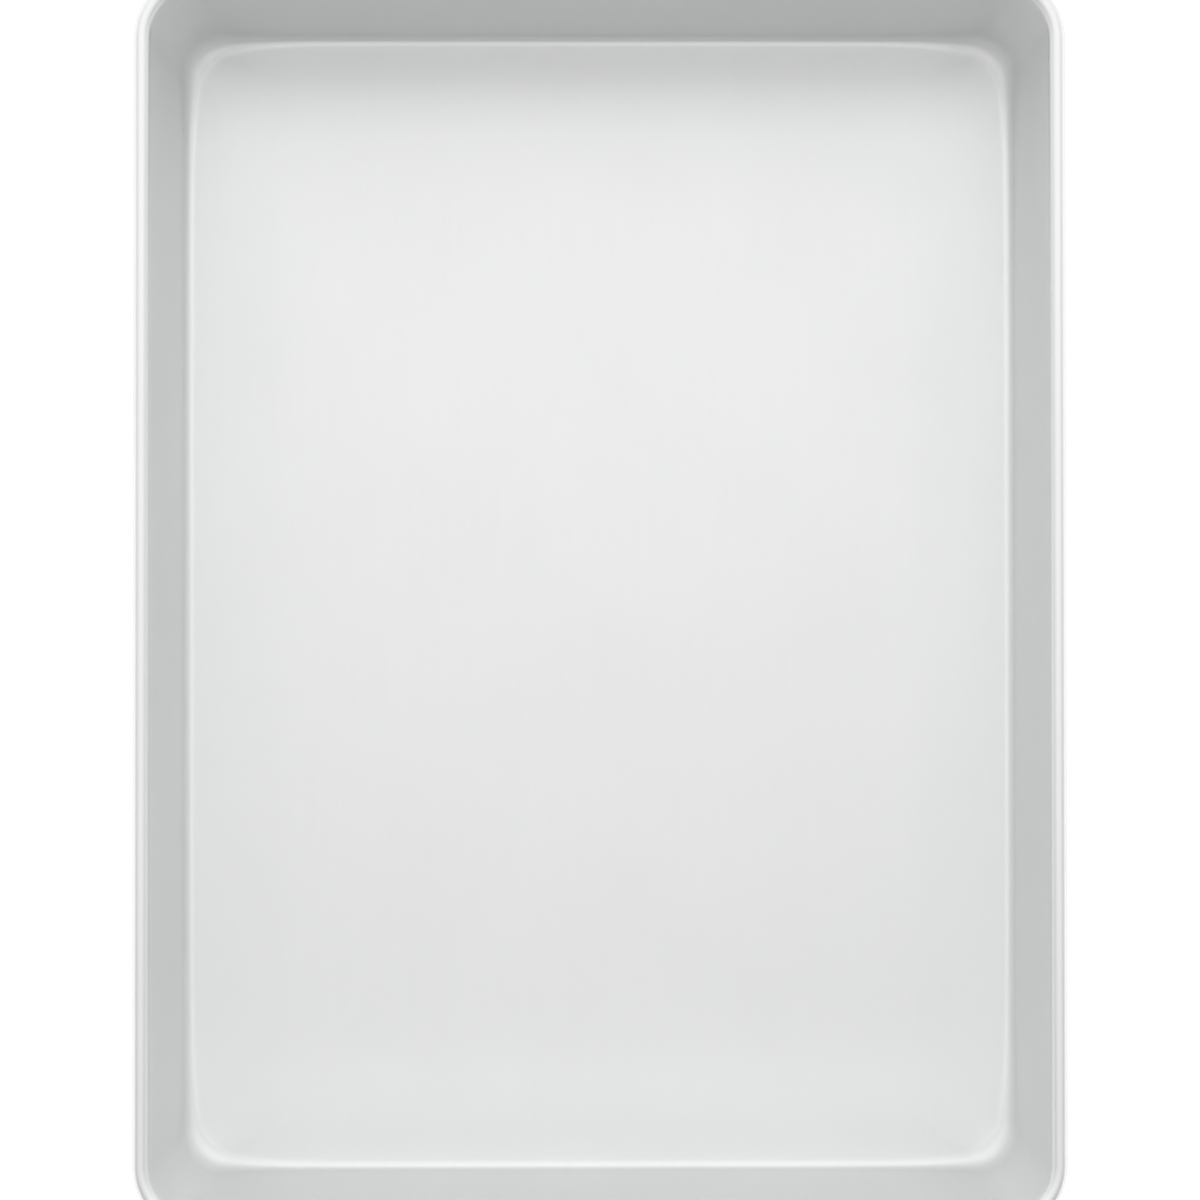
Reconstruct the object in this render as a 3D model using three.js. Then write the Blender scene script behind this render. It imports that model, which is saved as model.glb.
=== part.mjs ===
// Rectangular sheet cake pan. A blank of aluminium sheet is drawn into a floor and four walls, and the
// edge of the sheet is curled outwards round a steel wire to make the rim.
// Millimetres, +Z up, +Y along the long walls, origin under the middle of the floor.
import * as THREE from "three";

// Driving dimensions of the drawn shell
const INSIDE_WIDTH = 279.4; // between the long walls, just under the rim
const INSIDE_LENGTH = 381; // between the short walls, just under the rim
const INSIDE_DEPTH = 50.8; // from the top of the floor to the top of the rim
const SHEET_THICKNESS = 1;
const WALL_DRAFT_DEG = 1; // how far the walls lean out from upright
const WALL_CORNER_RADIUS = 15.5; // inside the upright corners, just under the rim
const FLOOR_FILLET_RADIUS = 3.5; // inside, where the floor turns up into a straight wall
const FLOOR_CORNER_RADIUS = 26; // corners of the flat part of the floor, wider than the walls' own

// Driving dimensions of the wired rim
const WIRE_DIAMETER = 3;
const WIRE_CLEARANCE = 0.25; // between the wire and the inside of the curl
const WIRE_BUTT_GAP = 0.5; // between the two cut ends of the wire
const CURL_EDGE_GAP = 0.3; // between the cut edge of the sheet and the outside of the wall

// Steps in each round stretch
const CORNER_STEPS = 8; // round a corner in plan
const SPREAD_STEPS = 4; // along a wall, where the floor's wider corner starts before the wall's does
const FILLET_STEPS = 6;
const CURL_STEPS = 14;
const WIRE_SIDES = 12;

// Finishes
const ANODISED_ALUMINIUM = { color: 0xd9dbda, roughness: 0.45, metalness: 1 };
const ZINC_PLATED_STEEL = { color: 0xa9adb0, roughness: 0.35, metalness: 1 };

const QUARTER_TURN = Math.PI / 2;
const FULL_TURN = 2 * Math.PI;
const draft = THREE.MathUtils.degToRad(WALL_DRAFT_DEG);

// A section is drawn in x and y: x runs outwards from the inside of the wall just under the rim, y runs up.
// The curl's bore holds the wire, and the inside face of the wall runs straight into the curl's outside.
const curlBoreRadius = WIRE_DIAMETER / 2 + WIRE_CLEARANCE;
const curlRadius = curlBoreRadius + SHEET_THICKNESS;
const curlCentre = new THREE.Vector2(curlRadius, SHEET_THICKNESS + INSIDE_DEPTH - curlRadius);
const curlStart = Math.PI - draft; // where the wall meets the curl, as an angle round its centre
const curlStop = Math.acos((curlBoreRadius - CURL_EDGE_GAP) / curlRadius) - Math.PI - draft;

// The foot of the wall is where its inside face, carried straight down, would meet the floor.
const wallTop = new THREE.Vector2(Math.cos(curlStart), Math.sin(curlStart))
  .multiplyScalar(curlRadius)
  .add(curlCentre);
const wallFoot = wallTop.x - (wallTop.y - SHEET_THICKNESS) * Math.tan(draft);
const footPerFilletRadius = Math.tan((QUARTER_TURN - draft) / 2); // from the foot to the flat floor

// The flat part of the floor, as the half sizes of a rectangle with round corners
const flatInset = FLOOR_FILLET_RADIUS * footPerFilletRadius - wallFoot;
const flatHalf = new THREE.Vector2(INSIDE_WIDTH / 2 - flatInset, INSIDE_LENGTH / 2 - flatInset);
const cornerSpread = Math.max(0, flatInset + FLOOR_CORNER_RADIUS - WALL_CORNER_RADIUS);

// Shares of a stretch after each of its steps, the last one being 1
function steps(count) {
  return Array.from({ length: count }, (_, i) => (i + 1) / count);
}

// Points along an arc, which runs clockwise when its angle falls
function arc(centre, radius, from, to, count) {
  return new THREE.ArcCurve(centre.x, centre.y, radius, from, to, to < from).getPoints(count);
}

// Places round the inside of the rim, anticlockwise from above, each a point and the direction outwards.
// Every corner brings its arc, and the ends of the two walls beside it over the given spread.
function placesRoundRim(spread) {
  const wallSteps = steps(spread > 0 ? SPREAD_STEPS : 0);
  const cornerX = INSIDE_WIDTH / 2 - WALL_CORNER_RADIUS;
  const cornerY = INSIDE_LENGTH / 2 - WALL_CORNER_RADIUS;
  const corners = [
    new THREE.Vector2(cornerX, cornerY),
    new THREE.Vector2(-cornerX, cornerY),
    new THREE.Vector2(-cornerX, -cornerY),
    new THREE.Vector2(cornerX, -cornerY),
  ];
  return corners.flatMap((corner, i) => {
    const place = (turn, along) => {
      const angle = (i + turn) * QUARTER_TURN;
      const out = new THREE.Vector2(Math.cos(angle), Math.sin(angle));
      const onwards = new THREE.Vector2(-out.y, out.x);
      const point = corner.clone().addScaledVector(out, WALL_CORNER_RADIUS);
      return { point: point.addScaledVector(onwards, along * spread), out };
    };
    return [
      ...wallSteps.toReversed().map((share) => place(0, -share)),
      place(0, 0),
      ...steps(CORNER_STEPS).map((share) => place(share, 0)),
      ...wallSteps.map((share) => place(1, share)),
    ];
  });
}

// How far outside the flat part of the floor a point in plan lies, negative within it
function distanceToFlat(point) {
  const x = Math.abs(point.x) - flatHalf.x + FLOOR_CORNER_RADIUS;
  const y = Math.abs(point.y) - flatHalf.y + FLOOR_CORNER_RADIUS;
  const beyond = Math.hypot(Math.max(x, 0), Math.max(y, 0));
  return beyond + Math.min(Math.max(x, y), 0) - FLOOR_CORNER_RADIUS;
}

// From the foot of the wall at a place, how far inwards the flat part of the floor starts
function footToFlat({ point, out }) {
  const closeEnough = 1e-6;
  let inwards = 0;
  for (let left = Infinity; left > closeEnough; inwards += left) {
    left = distanceToFlat(point.clone().addScaledVector(out, wallFoot - inwards));
  }
  return inwards;
}

// The sheet's section at a place, from the floor's underside up round the curl and back to the floor's top
function sheetSection(place) {
  const toFlat = footToFlat(place);
  const inner = toFlat / footPerFilletRadius;
  const outer = inner + SHEET_THICKNESS;
  const filletCentre = new THREE.Vector2(wallFoot - toFlat, outer);
  return [
    ...arc(filletCentre, outer, -QUARTER_TURN, -draft, FILLET_STEPS),
    ...arc(curlCentre, curlBoreRadius, curlStart, curlStop, CURL_STEPS),
    ...arc(curlCentre, curlRadius, curlStop, curlStart, CURL_STEPS),
    ...arc(filletCentre, inner, -draft, -QUARTER_TURN, FILLET_STEPS),
  ];
}

// A point of a section, stood up at its place round the rim
function standUp({ point, out }, { x, y }) {
  return new THREE.Vector3(point.x + out.x * x, point.y + out.y * x, y);
}

// A closed solid through a row of closed loops of equally many points, with a flat end on the first loop
// and on the last. Each loop goes anticlockwise as seen from further along the row.
function loft(loops) {
  const sides = loops[0].length;
  const lastLoop = (loops.length - 1) * sides;
  const firstMiddle = loops.length * sides;
  const lastMiddle = firstMiddle + 1;
  const middles = [loops[0], loops.at(-1)].map((loop) =>
    loop.reduce((sum, point) => sum.add(point), new THREE.Vector3()).divideScalar(sides),
  );
  const faces = [];
  for (let side = 0; side < sides; side++) {
    const next = (side + 1) % sides;
    for (let near = 0; near < lastLoop; near += sides) {
      const far = near + sides;
      faces.push(near + side, near + next, far + next);
      faces.push(near + side, far + next, far + side);
    }
    faces.push(firstMiddle, next, side);
    faces.push(lastMiddle, lastLoop + side, lastLoop + next);
  }
  return new THREE.BufferGeometry().setFromPoints([...loops.flat(), ...middles]).setIndex(faces);
}

// The drawn shell: a loop round the pan for each point of the section
function panShell() {
  const places = placesRoundRim(cornerSpread);
  const sections = places.map(sheetSection);
  return loft(sections[0].map((_, i) => places.map((place, j) => standUp(place, sections[j][i]))));
}

// The rim wire: bent to the outline of the rim, its two ends butted in the middle of a long wall
function rimWire() {
  const buttedEnd = (y) => ({
    point: new THREE.Vector2(INSIDE_WIDTH / 2, y),
    out: new THREE.Vector2(1, 0),
  });
  const places = [buttedEnd(WIRE_BUTT_GAP / 2), ...placesRoundRim(0), buttedEnd(-WIRE_BUTT_GAP / 2)];
  const section = arc(curlCentre, WIRE_DIAMETER / 2, FULL_TURN, 0, WIRE_SIDES).slice(1);
  return loft(places.map((place) => section.map((point) => standUp(place, point))));
}

function piece(name, geometry, finish) {
  geometry.computeVertexNormals();
  const mesh = new THREE.Mesh(geometry, new THREE.MeshStandardMaterial(finish));
  mesh.name = name;
  return mesh;
}

const cakePan = new THREE.Group();
cakePan.add(piece("pan_shell", panShell(), ANODISED_ALUMINIUM));
cakePan.add(piece("rim_wire", rimWire(), ZINC_PLATED_STEEL));

export default cakePan;
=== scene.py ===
"""Rectangular cake pan: a drawn aluminium shell, its rim curled round a steel wire, on a white table."""
import math

import bpy
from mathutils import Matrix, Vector


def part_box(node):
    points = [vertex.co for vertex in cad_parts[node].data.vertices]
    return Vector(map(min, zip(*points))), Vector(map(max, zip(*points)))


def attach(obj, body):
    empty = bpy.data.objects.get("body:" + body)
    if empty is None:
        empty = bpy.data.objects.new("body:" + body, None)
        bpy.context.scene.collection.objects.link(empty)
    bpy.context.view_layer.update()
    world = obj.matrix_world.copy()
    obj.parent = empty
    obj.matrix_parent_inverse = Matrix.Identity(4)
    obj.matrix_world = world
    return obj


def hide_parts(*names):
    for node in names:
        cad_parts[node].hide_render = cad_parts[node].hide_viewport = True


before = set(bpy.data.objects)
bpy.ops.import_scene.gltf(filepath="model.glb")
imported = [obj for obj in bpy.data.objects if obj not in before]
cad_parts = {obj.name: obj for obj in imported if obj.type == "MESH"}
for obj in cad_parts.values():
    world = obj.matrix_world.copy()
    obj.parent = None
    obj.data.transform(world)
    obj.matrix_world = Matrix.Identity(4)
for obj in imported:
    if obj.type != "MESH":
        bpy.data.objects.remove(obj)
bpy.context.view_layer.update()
bpy.context.scene.view_settings.view_transform = "Standard"

# Pan shell
# One blank of aluminium sheet, drawn over a punch into a floor, four leaning walls and round corners. The
# floor turns up into the walls through a tight fillet, which opens out in the corners, where the metal has
# to flow. The edge of the sheet is curled outwards into a bead, and the whole is etched and anodised.
SHEET = 0.001
DRAFT = math.radians(1)
CURL_RADIUS = 0.00275  # outside of the curl
CURL_EDGE_GAP = 0.0003  # between the cut edge of the sheet and the outside of the wall
WALL_CORNER_RADIUS = 0.0155  # inside the corners, at the rim
FLOOR_CORNER_RADIUS = 0.026  # corners of the flat part of the floor
FLOOR_FILLET_RADIUS = 0.0035  # beside a straight wall
FILLET_PROFILE = 0.6  # a little squarer than an arc, which would be 0.5
FILLET_STEPS = 14
CORNER_STEPS = 16
CURL_STEPS = 26
WALL_STEP = 0.0025  # between the points along a straight wall
RING_SHARE = 0.8  # width of the floor's border ring, as a share of the foot's corner radius
FOOT_SHARE = 0.98  # an edge farther out than this share of the foot's corner radius is on the foot line
SHARP_ANGLE = math.radians(40)
QUARTER_TURN = math.pi / 2
SAME_PLACE = 1e-6  # points nearer to each other than this are one
CLOSE_ENOUGH = 1e-7  # the search for the flat of the floor stops this near to it

shell_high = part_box("pan_shell")[1]
rim_half_width = shell_high.x - 2 * CURL_RADIUS
rim_half_length = shell_high.y - 2 * CURL_RADIUS
curl_bore = CURL_RADIUS - SHEET
curl_height = shell_high.z - CURL_RADIUS

# The inside face of the wall runs straight into the curl's outside. Carried down, it meets the floor at
# its foot.
wall_top_out = CURL_RADIUS * (1 - math.cos(DRAFT))
wall_top_height = curl_height + CURL_RADIUS * math.sin(DRAFT)
foot_in = (wall_top_height - SHEET) * math.tan(DRAFT) - wall_top_out
foot_half_width = rim_half_width - foot_in
foot_half_length = rim_half_length - foot_in
foot_corner_radius = WALL_CORNER_RADIUS - foot_in

# The flat of the floor starts this far inside the foot, beside a straight wall.
foot_to_flat = FLOOR_FILLET_RADIUS * math.tan((QUARTER_TURN - DRAFT) / 2)


def outside_flat(point):
    """How far a point lies outside the flat part of the floor, whose corners are wider than the walls'."""
    x = abs(point.x) - (foot_half_width - foot_to_flat - FLOOR_CORNER_RADIUS)
    y = abs(point.y) - (foot_half_length - foot_to_flat - FLOOR_CORNER_RADIUS)
    return math.hypot(max(x, 0), max(y, 0)) + min(max(x, y), 0) - FLOOR_CORNER_RADIUS


def run_to_flat(point, inwards):
    """The way from a point on the foot line, square to the wall, to the flat of the floor."""
    run = 0
    left = outside_flat(point)
    while left > CLOSE_ENOUGH:
        run += left
        left = outside_flat(point + inwards * run)
    return run


def pick_edges(piece, wanted):
    """Selects just those edges of a piece in edit mode whose two ends pass the test."""
    bpy.ops.object.mode_set(mode="OBJECT")
    points = piece.data.vertices
    for edge in piece.data.edges:
        start, end = (points[i].co for i in edge.vertices)
        edge.select = wanted(start, end)
    bpy.ops.object.mode_set(mode="EDIT")


def draw_edge_on(out, up):
    """Draws the selected edge of the sheet on: it stands up first, so that its normals lie level."""
    standing = SHEET
    bpy.ops.mesh.extrude_edges_move(TRANSFORM_OT_translate={"value": (0, 0, standing)})
    bpy.ops.transform.shrink_fatten(value=-out, use_even_offset=True)
    bpy.ops.transform.translate(value=(0, 0, up - standing))


def apply_modifier(piece, kind, **settings):
    """Adds a modifier to the active piece with these settings and applies it."""
    modifier = piece.modifiers.new(kind.title(), kind)
    for name, value in settings.items():
        setattr(modifier, name, value)
    bpy.ops.object.modifier_apply(modifier=modifier.name)


# The foot line of the walls, cut from a plane: round corners, and short steps along the straight sides.
bpy.ops.object.select_all(action="DESELECT")
bpy.ops.mesh.primitive_plane_add(size=1, location=(0, 0, SHEET))
shell = bpy.context.object
shell.name = "drawn_shell"
bpy.ops.object.mode_set(mode="EDIT")
bpy.ops.mesh.select_mode(type="EDGE")
bpy.ops.transform.resize(value=(2 * foot_half_width, 2 * foot_half_length, 1))
bpy.ops.mesh.bevel(affect="VERTICES", offset=foot_corner_radius, segments=CORNER_STEPS)
bpy.ops.mesh.select_all(action="SELECT")
bpy.ops.mesh.delete(type="ONLY_FACE")
for side, half in (("x", foot_half_width), ("y", foot_half_length)):
    pick_edges(shell, lambda start, end: abs(getattr(start - end, side)) > 2 * FLOOR_CORNER_RADIUS)
    straight = 2 * (half - foot_corner_radius)
    bpy.ops.mesh.subdivide(number_cuts=round(straight / WALL_STEP) - 1)

# The floor, with a border ring that the fillet is later cut from.
bpy.ops.mesh.select_all(action="SELECT")
bpy.ops.mesh.edge_face_add()
bpy.ops.object.mode_set(mode="OBJECT")
faces_down = shell.data.polygons[0].normal.z < 0
bpy.ops.object.mode_set(mode="EDIT")
if faces_down:
    bpy.ops.mesh.flip_normals()
bpy.ops.mesh.inset(thickness=RING_SHARE * foot_corner_radius)

# The walls are drawn up to the rim in one pull, and the rim is curled over in small steps.
bpy.ops.mesh.select_all(action="DESELECT")
bpy.ops.mesh.select_non_manifold()
draw_edge_on(foot_in + wall_top_out, wall_top_height - SHEET)
curl_start = math.pi - DRAFT
curl_stop = math.acos((curl_bore - CURL_EDGE_GAP) / CURL_RADIUS) - math.pi - DRAFT
curl_step = (curl_stop - curl_start) / CURL_STEPS
for step in range(CURL_STEPS):
    angle = curl_start + step * curl_step
    out = CURL_RADIUS * (math.cos(angle + curl_step) - math.cos(angle))
    up = CURL_RADIUS * (math.sin(angle + curl_step) - math.sin(angle))
    draw_edge_on(out, up)
bpy.ops.object.mode_set(mode="OBJECT")
bpy.ops.object.transform_apply(location=True, rotation=True, scale=True)

# The fillet is a bevel of the foot line, weighted by the run to the flat of the floor at each place.
points = shell.data.vertices
runs = {}
for edge in shell.data.edges:
    start, end = (points[i].co for i in edge.vertices)
    middle = (start + end) / 2
    along = (end - start).normalized()
    inwards = Vector((-along.y, along.x, 0))
    if inwards.dot(middle) > 0:
        inwards = -inwards
    in_floor = max(abs(start.z - SHEET), abs(end.z - SHEET)) < SAME_PLACE
    corner_x = max(abs(middle.x) - foot_half_width + foot_corner_radius, 0)
    corner_y = max(abs(middle.y) - foot_half_length + foot_corner_radius, 0)
    if in_floor and math.hypot(corner_x, corner_y) > FOOT_SHARE * foot_corner_radius:
        runs[edge.index] = run_to_flat(middle, inwards)
longest_run = max(runs.values())
weights = shell.data.attributes.new("bevel_weight_edge", "FLOAT", "EDGE")
for index, run in runs.items():
    weights.data[index].value = run / longest_run
apply_modifier(shell, "BEVEL", limit_method="WEIGHT", width=longest_run, segments=FILLET_STEPS,
               profile=FILLET_PROFILE, use_clamp_overlap=False)

# What is modelled so far is the upper face of the sheet, and the thickness lies behind it.
apply_modifier(shell, "SOLIDIFY", thickness=SHEET, offset=-1, use_even_offset=True)
bpy.ops.object.shade_smooth_by_angle(angle=SHARP_ANGLE)
apply_modifier(shell, "WEIGHTED_NORMAL", keep_sharp=True)


class Finish:
    """The nodes of a material. It holds one socket, and Python's operators on sockets add Math nodes."""

    def __init__(self, tree, socket=None):
        self.tree = tree
        self.socket = socket

    def node(self, kind, settings=None, inputs=None, output=0):
        """A new node, with its settings first and then a value or a link for each socket given."""
        made = self.tree.nodes.new(kind)
        for name, value in (settings or {}).items():
            setattr(made, name, value)
        for name, value in (inputs or {}).items():
            if isinstance(value, Finish):
                self.tree.links.new(value.socket, made.inputs[name])
            else:
                made.inputs[name].default_value = value
        return Finish(self.tree, made.outputs[output])

    def math(self, operation, first, second):
        """A step of maths on two numbers, either of which may be a link."""
        return self.node("ShaderNodeMath", {"operation": operation}, {0: first, 1: second})

    def vector(self, operation, first, second=(0, 0, 0), output="Vector"):
        """A step of maths on one or two vectors."""
        return self.node("ShaderNodeVectorMath", {"operation": operation}, {0: first, 1: second}, output)

    def axis(self, vector, name):
        """One number of a vector: X, Y or Z."""
        return self.node("ShaderNodeSeparateXYZ", inputs={0: vector}, output=name)

    def __add__(self, other):
        return self.math("ADD", self, other)

    def __radd__(self, other):
        return self.math("ADD", other, self)

    def __sub__(self, other):
        return self.math("SUBTRACT", self, other)

    def __rsub__(self, other):
        return self.math("SUBTRACT", other, self)

    def __mul__(self, other):
        return self.math("MULTIPLY", self, other)

    def __rmul__(self, other):
        return self.math("MULTIPLY", other, self)

    def place(self):
        """Where a point of the piece is, in metres from the origin."""
        return self.node("ShaderNodeTexCoord", output="Object")

    def noise(self, place, size, detail=2):
        """Cloudy values from about -1 to 1, in lumps of a size in metres, which may differ by axis."""
        sizes = size if isinstance(size, tuple) else (size, size, size)
        scales = [1 / lump for lump in sizes]
        scaled = self.node("ShaderNodeMapping", inputs={"Vector": place, "Scale": scales})
        cloud = self.node("ShaderNodeTexNoise", inputs={"Vector": scaled, "Scale": 1, "Detail": detail})

        # The node's own values lie mostly between 0.25 and 0.75.
        return 4 * cloud - 2

    def fade(self, value, start, end, way="SMOOTHSTEP"):
        """Goes from 0 where the value is at the start to 1 where it is at the end."""
        return self.node("ShaderNodeMapRange", {"interpolation_type": way},
                         {"Value": value, "From Min": start, "From Max": end})

    def mix(self, share, colour, other):
        """A colour that goes over into another one by a share from 0 to 1."""
        # The sockets for colours go by number, because those for numbers and vectors have the same names.
        return self.node("ShaderNodeMix", {"data_type": "RGBA"}, {0: share, 6: colour, 7: other}, 2)


def metal(name, make):
    """A new metal, whose colour, roughness, surface height and depth come from a function of its nodes."""
    material = bpy.data.materials.new(name)
    material.use_nodes = True
    tree = material.node_tree
    colour, roughness, height, depth = make(Finish(tree))
    bump = Finish(tree).node("ShaderNodeBump", inputs={"Height": height, "Distance": depth})
    surface = tree.nodes["Principled BSDF"]
    surface.inputs["Metallic"].default_value = 1
    for socket, value in (("Base Color", colour), ("Roughness", roughness), ("Normal", bump)):
        tree.links.new(value.socket, surface.inputs[socket])
    return material


ALUMINIUM = (0.83, 0.835, 0.833, 1)
ALUMINIUM_DULL = (0.805, 0.81, 0.808, 1)
# Painted light: a lighter colour for the floor's border beside the walls, standing in for light against
# their shade.
ALUMINIUM_PAINTED_LIGHT = (0.955, 0.96, 0.958, 1)
DULL_SHARE = 0.5  # of the dull colour, on average
DULL_BY_PATCH = 0.15
DULL_BY_LINE = 0.1
FLOOR_ROUGHNESS = 0.5
WALL_ROUGHNESS = 0.65
BEAD_ROUGHNESS = 0.44
ROUGH_BY_PATCH = 0.008
ROUGH_BY_LINE = 0.01
PATCH_SIZE = 0.05
PIT_SIZE = 0.0004
LINE_SIZE = (0.0007, 0.05, 0.05)  # the rolling lines run along the pan
LINE_HEIGHT = 0.3  # as a share of the pits'
GRAIN_DEPTH = 0.000003
WALL_FINISH_STARTS = 0.0012  # height up the fillet
WALL_FINISH_FULL = 0.004
BEAD_BLEND = 0.001  # half the height over which the wall's finish goes over into the bead's
PAINTED_LIGHT_WIDTH = Vector((0.03, 0.012))  # its width beside the long walls and beside the short ones
PAINTED_LIGHT_RISE = 0.0002  # the painted light ends this far up the fillet
NEAR_END_SHARE = 0.65  # strength of the border there, against the other sides


def etched_aluminium(finish):
    """Sheet etched to an even matte, with a fine pitted grain and faint rolling lines. The floor's border is
    painted lighter, as painted light against the walls' shade; the stretched walls are rougher, and the
    bead is rubbed smoother."""
    place = finish.place()
    height = finish.axis(place, "Z")
    pits = finish.noise(place, PIT_SIZE)
    rolling = finish.noise(place, LINE_SIZE)
    patches = finish.noise(place, PATCH_SIZE, detail=3)

    # Painted light against the walls' shade: a lighter border along the edges of the flat floor, on its top
    #     # side only, weaker at the near end.
    flat_half = Vector((foot_half_width - foot_to_flat, foot_half_length - foot_to_flat))
    middle = flat_half - PAINTED_LIGHT_WIDTH
    across = finish.axis(finish.vector("ABSOLUTE", place), "X")
    along = finish.axis(place, "Y")
    beside = finish.fade(across, middle.x, flat_half.x, "LINEAR")
    far_end = finish.fade(along, middle.y, flat_half.y, "LINEAR")
    near_end = finish.fade(along, -middle.y, -flat_half.y, "LINEAR")
    border = finish.math("MAXIMUM", beside, finish.math("MAXIMUM", far_end, NEAR_END_SHARE * near_end))
    top_side = finish.fade(height, 0, SHEET, "LINEAR")
    on_floor = top_side * (1 - finish.fade(height, SHEET, SHEET + PAINTED_LIGHT_RISE))
    painted_light = border * border * on_floor

    raised = finish.fade(height, WALL_FINISH_STARTS, WALL_FINISH_FULL)
    bead = finish.fade(height, curl_height - BEAD_BLEND, curl_height + BEAD_BLEND)
    wall = raised * (1 - bead)
    dull = DULL_SHARE + DULL_BY_PATCH * patches + DULL_BY_LINE * rolling
    plain = finish.mix(dull, ALUMINIUM, ALUMINIUM_DULL)
    # The floor's border is painted lighter here, as painted light against the walls' shade.
    colour = finish.mix(painted_light, plain, ALUMINIUM_PAINTED_LIGHT)
    roughness = (FLOOR_ROUGHNESS
                 + (WALL_ROUGHNESS - FLOOR_ROUGHNESS) * wall
                 + (BEAD_ROUGHNESS - FLOOR_ROUGHNESS) * bead
                 + ROUGH_BY_PATCH * patches
                 + ROUGH_BY_LINE * rolling)
    return colour, roughness, pits + LINE_HEIGHT * rolling, GRAIN_DEPTH


shell.data.materials.append(metal("etched_aluminium", etched_aluminium))
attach(shell, "root")
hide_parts("pan_shell")

# Rim wire
# A length of zinc plated steel wire, bent to the outline of the rim. The edge of the sheet is curled shut
# round it, and its two cut ends butt in the middle of a long wall.
WIRE_DIAMETER = 0.003
WIRE_BUTT_GAP = 0.0005
WIRE_SIDES = 24
WIRE_CORNER_STEPS = 12

wire_half_width = rim_half_width + CURL_RADIUS
wire_half_length = rim_half_length + CURL_RADIUS
wire_corner_radius = WALL_CORNER_RADIUS + CURL_RADIUS
wire_corner_x = wire_half_width - wire_corner_radius
wire_corner_y = wire_half_length - wire_corner_radius

bpy.ops.object.select_all(action="DESELECT")
bpy.ops.mesh.primitive_circle_add(vertices=WIRE_SIDES, radius=WIRE_DIAMETER / 2,
                                  location=(wire_half_width, WIRE_BUTT_GAP / 2, curl_height),
                                  rotation=(QUARTER_TURN, 0, 0))
wire = bpy.context.object
wire.name = "curled_in_wire"
bpy.ops.object.transform_apply(location=True, rotation=True, scale=True)
bpy.ops.object.mode_set(mode="EDIT")
bpy.ops.mesh.select_mode(type="EDGE")
bpy.ops.mesh.select_all(action="SELECT")


def run_wire(x, y):
    """Draws the wire on by a straight run."""
    bpy.ops.mesh.extrude_edges_move(TRANSFORM_OT_translate={"value": (x, y, 0)})


def bend_wire(x, y):
    """Bends the wire a quarter turn to the left, about the middle of a corner."""
    # The operator turns clockwise about its axis, so the axis points down.
    bpy.ops.mesh.spin(steps=WIRE_CORNER_STEPS, angle=QUARTER_TURN, center=(x, y, curl_height),
                      axis=(0, 0, -1))


run_wire(0, wire_corner_y - WIRE_BUTT_GAP / 2)
bend_wire(wire_corner_x, wire_corner_y)
run_wire(-2 * wire_corner_x, 0)
bend_wire(-wire_corner_x, wire_corner_y)
run_wire(0, -2 * wire_corner_y)
bend_wire(-wire_corner_x, -wire_corner_y)
run_wire(2 * wire_corner_x, 0)
bend_wire(wire_corner_x, -wire_corner_y)
run_wire(0, wire_corner_y - WIRE_BUTT_GAP / 2)
bpy.ops.mesh.select_all(action="SELECT")
bpy.ops.mesh.remove_doubles(threshold=SAME_PLACE)
bpy.ops.mesh.fill_holes(sides=0)
bpy.ops.mesh.normals_make_consistent(inside=False)
bpy.ops.object.mode_set(mode="OBJECT")
bpy.ops.object.shade_smooth_by_angle(angle=SHARP_ANGLE)

ZINC = (0.62, 0.64, 0.66, 1)
ZINC_DULL = (0.5, 0.52, 0.54, 1)
DULL_BY_CLOUD = 0.3
DULL_BY_DIE_LINE = 0.15
ZINC_ROUGHNESS = 0.36
ROUGH_BY_CLOUD = 0.06
ROUGH_BY_DIE_LINE = 0.03
CLOUD_SIZE = 0.004
DIE_LINE_SIZE = (0.03, 0.03, 0.00012)
DIE_LINE_DEPTH = 0.000004


def zinc_plating(finish):
    """Bright zinc on drawn wire: the lines of the drawing die run along the wire, under dull clouds."""
    place = finish.place()
    clouds = finish.noise(place, CLOUD_SIZE, detail=3)
    die_lines = finish.noise(place, DIE_LINE_SIZE)
    dull = DULL_SHARE + DULL_BY_CLOUD * clouds + DULL_BY_DIE_LINE * die_lines
    colour = finish.mix(dull, ZINC, ZINC_DULL)
    roughness = ZINC_ROUGHNESS + ROUGH_BY_CLOUD * clouds + ROUGH_BY_DIE_LINE * die_lines
    return colour, roughness, die_lines, DIE_LINE_DEPTH


wire.data.materials.append(metal("zinc_plating", zinc_plating))
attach(wire, "root")
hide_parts("rim_wire")

# Table
# A plain white table top, which the pan stands on, with a white backdrop all round, far behind it. The
# table is lifted to white where the camera or the metal sees it, and the pan's shadow stays on it.
TABLE_RADIUS = 20
TABLE_SIDES = 64
TABLE_DROP = 0.0002  # below the pan's underside, so that the two faces don't lie in one plane
BACKDROP_HEIGHT = 6.5
SWEEP_WHITE = (0.8, 0.8, 0.8, 1)
SWEEP_ROUGHNESS = 0.9
SWEEP_LIFT = 0.4
BACKDROP_LIFT = 1
WHITE = (1, 1, 1, 1)
BLACK = (0, 0, 0, 1)

bpy.ops.object.select_all(action="DESELECT")
bpy.ops.mesh.primitive_circle_add(vertices=TABLE_SIDES, radius=TABLE_RADIUS, fill_type="NGON",
                                  location=(0, 0, -TABLE_DROP))
sweep = bpy.context.object
sweep.name = "sweep"
bpy.ops.object.mode_set(mode="EDIT")
bpy.ops.mesh.select_mode(type="EDGE")
bpy.ops.mesh.select_non_manifold()
bpy.ops.mesh.extrude_edges_move(TRANSFORM_OT_translate={"value": (0, 0, BACKDROP_HEIGHT)})
bpy.ops.object.mode_set(mode="OBJECT")


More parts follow.
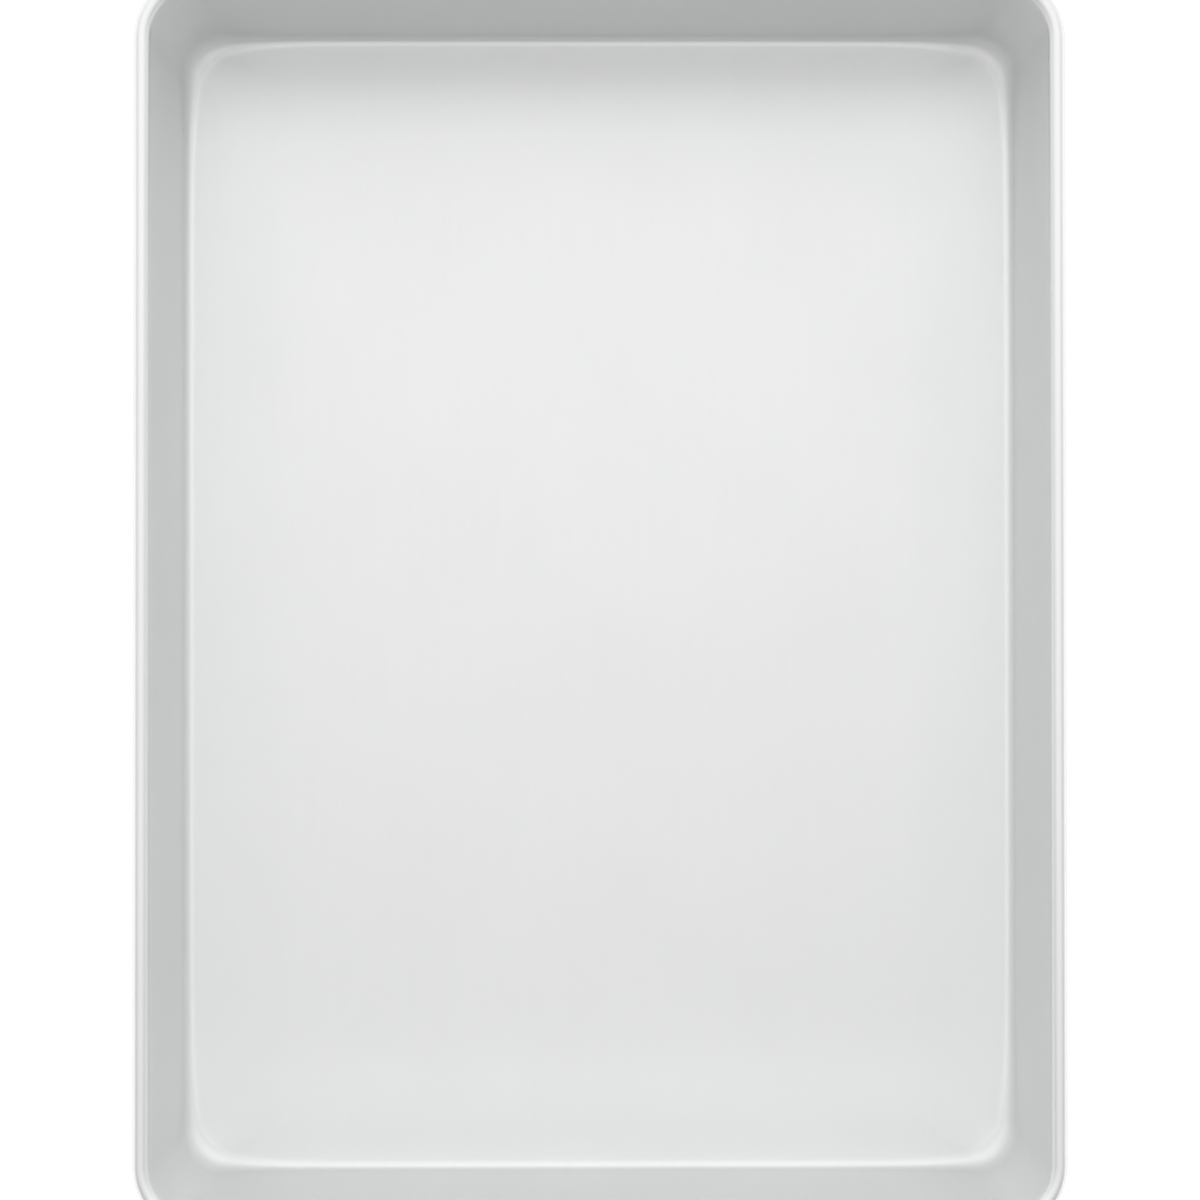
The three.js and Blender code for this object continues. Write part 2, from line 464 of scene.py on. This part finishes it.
def matte(name, colour, lift):
    """A new paint with no gloss, and its shader, whose emission has the strength of a lift."""
    material = bpy.data.materials.new(name)
    material.use_nodes = True
    shader = material.node_tree.nodes["Principled BSDF"]
    shader.inputs["Base Color"].default_value = colour
    shader.inputs["Specular IOR Level"].default_value = 0
    shader.inputs["Emission Strength"].default_value = lift
    return material, shader


white, paint = matte("white_sweep", SWEEP_WHITE, SWEEP_LIFT)
paint.inputs["Roughness"].default_value = SWEEP_ROUGHNESS
rays = Finish(white.node_tree)
seen = rays.node("ShaderNodeLightPath", output="Is Camera Ray")
seen += rays.node("ShaderNodeLightPath", output="Is Glossy Ray")
seen += rays.node("ShaderNodeLightPath", output="Is Transmission Ray")
lifted = rays.mix(seen, BLACK, WHITE)
white.node_tree.links.new(lifted.socket, paint.inputs["Emission Color"])
backdrop, glow = matte("white_backdrop", BLACK, BACKDROP_LIFT)
glow.inputs["Emission Color"].default_value = WHITE

# The faces that stand up from the table top are the backdrop's.
sweep.data.materials.append(white)
sweep.data.materials.append(backdrop)
for face in sweep.data.polygons:
    face.material_index = int(face.center.z > 0)

# Light
# A soft white room, brighter behind the far end of the pan, with a broad softbox overhead and a low white
# card along each side, which the bead of the rim shows as its bright line.
ROOM_LEVEL = 0.67
ROOM_RISE = Vector((0, 0.565, 0))  # by how much the level grows towards each axis
OVERHEAD_SIZE = 2.4
OVERHEAD_HEIGHT = 1.5
OVERHEAD_LEVEL = 0.44
CARD_LENGTH = 2
CARD_WIDTH = 0.24
CARD_DISTANCE = 1
CARD_HEIGHT = 0.12
CARD_LEVEL = 0.56

world = bpy.data.worlds.new("room")
bpy.context.scene.world = world
world.use_nodes = True
room = Finish(world.node_tree)
direction = room.node("ShaderNodeTexCoord", output="Generated")
rise = room.vector("DOT_PRODUCT", direction, ROOM_RISE, "Value")
strength = room.math("MAXIMUM", ROOM_LEVEL + rise, 0)
background = world.node_tree.nodes["Background"]
background.inputs["Color"].default_value = WHITE
world.node_tree.links.new(strength.socket, background.inputs["Strength"])


def softbox(name, place, width, height, level):
    """Hangs a softbox at a place, aimed at the pan, as bright as a white of this level."""
    data = bpy.data.lights.new(name, "AREA")
    data.shape = "RECTANGLE"
    data.size = width
    data.size_y = height
    data.energy = math.pi * width * height * level
    lamp = bpy.data.objects.new(name, data)
    bpy.context.scene.collection.objects.link(lamp)
    lamp.location = place
    lamp.rotation_euler = Vector(place).to_track_quat("Z", "Y").to_euler()


softbox("overhead_softbox", (0, 0, OVERHEAD_HEIGHT), OVERHEAD_SIZE, OVERHEAD_SIZE, OVERHEAD_LEVEL)
softbox("left_card", (-CARD_DISTANCE, 0, CARD_HEIGHT), CARD_LENGTH, CARD_WIDTH, CARD_LEVEL)
softbox("right_card", (CARD_DISTANCE, 0, CARD_HEIGHT), CARD_LENGTH, CARD_WIDTH, CARD_LEVEL)

# Camera
# A camera on a copy stand, looking straight down from 0.6 m above the rim, a hair off the middle and off
# level. Its place and focal length were solved from the straight edges of the pan in the photograph.
PHOTO_WIDTH = 1200
FOCAL_PIXELS = 1977
SENSOR_WIDTH = 36  # in millimetres, as the lens is
CAMERA_ABOVE_RIM = 0.6121
CAMERA_OFF_CENTRE = Vector((-0.00234, -0.00421))
CAMERA_TILT = (math.radians(0.422), math.radians(-0.218), math.radians(-0.036))

camera_data = bpy.data.cameras.new("camera")
camera_data.sensor_width = SENSOR_WIDTH
camera_data.lens = SENSOR_WIDTH * FOCAL_PIXELS / PHOTO_WIDTH
camera = bpy.data.objects.new("camera", camera_data)
bpy.context.scene.collection.objects.link(camera)
camera.location = (*CAMERA_OFF_CENTRE, shell_high.z + CAMERA_ABOVE_RIM)
camera.rotation_mode = "ZYX"
camera.rotation_euler = CAMERA_TILT
bpy.context.scene.camera = camera
